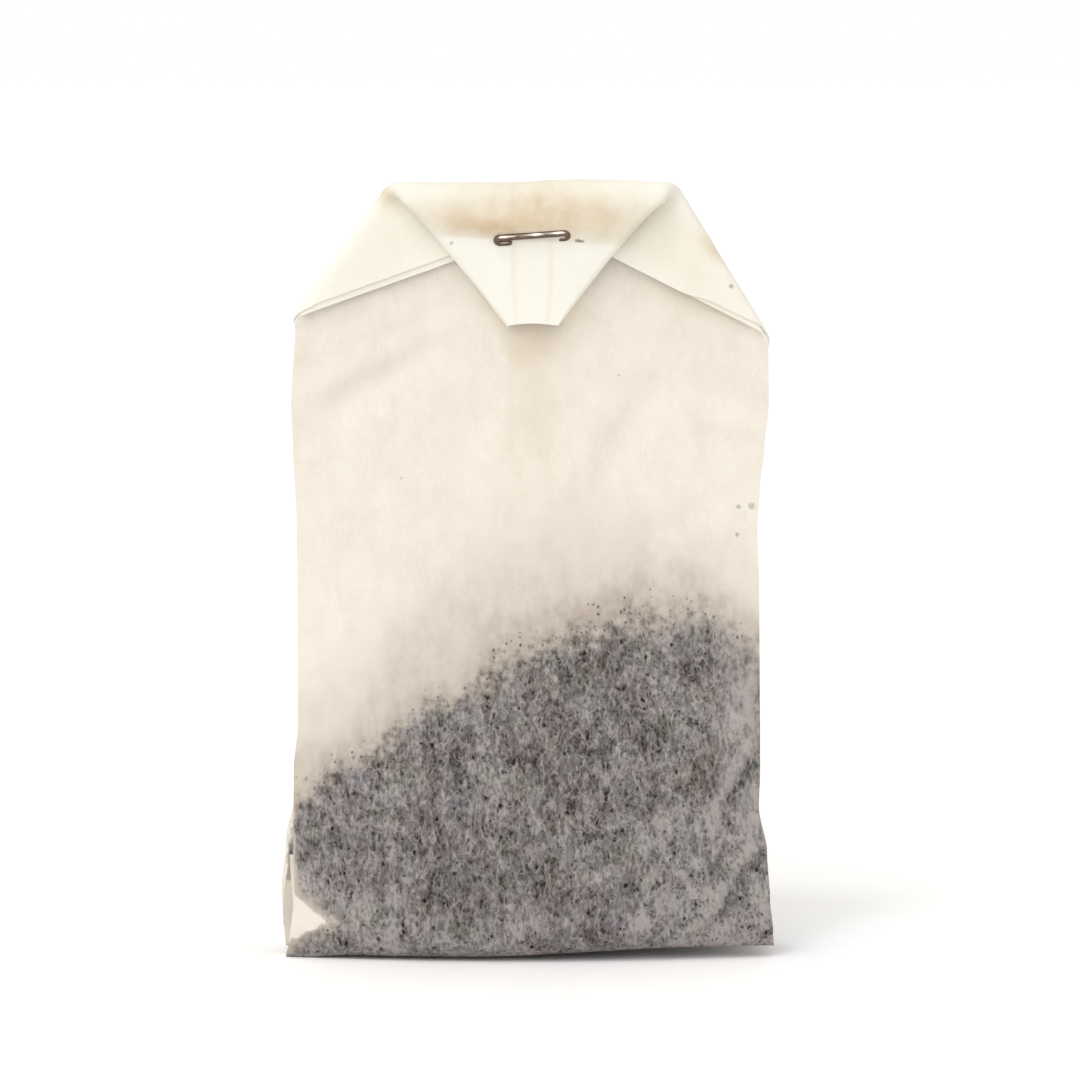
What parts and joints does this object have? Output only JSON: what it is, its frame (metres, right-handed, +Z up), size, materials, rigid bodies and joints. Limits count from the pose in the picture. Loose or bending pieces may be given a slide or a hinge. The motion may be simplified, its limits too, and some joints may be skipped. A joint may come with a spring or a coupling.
{
  "type": "tea bag",
  "caption": "Double-chamber tea bag: one folded tube of filter paper with two chambers of leaf tea, its head folded over and closed with a wire staple.",
  "frame": {"origin": "on the ground, under the middle of the bag's box", "axes": "+Z up to the folded head, -Y towards the front, where the head's flap and the staple's crown are, +X to the right as seen from the front"},
  "size_m": [0.0408, 0.0136, 0.0656],
  "materials": {
    "filter_paper": "matt long-fibre tea filter paper, unbleached cream, translucent",
    "tea_leaf": "dry cut black tea leaf, matt",
    "staple_wire": "drawn wire, bright"
  },
  "bodies": {
    "root": {"filter_paper": "filter_paper", "tea_front": "tea_leaf", "tea_back": "tea_leaf", "staple": "staple_wire"}
  },
  "joints": []
}
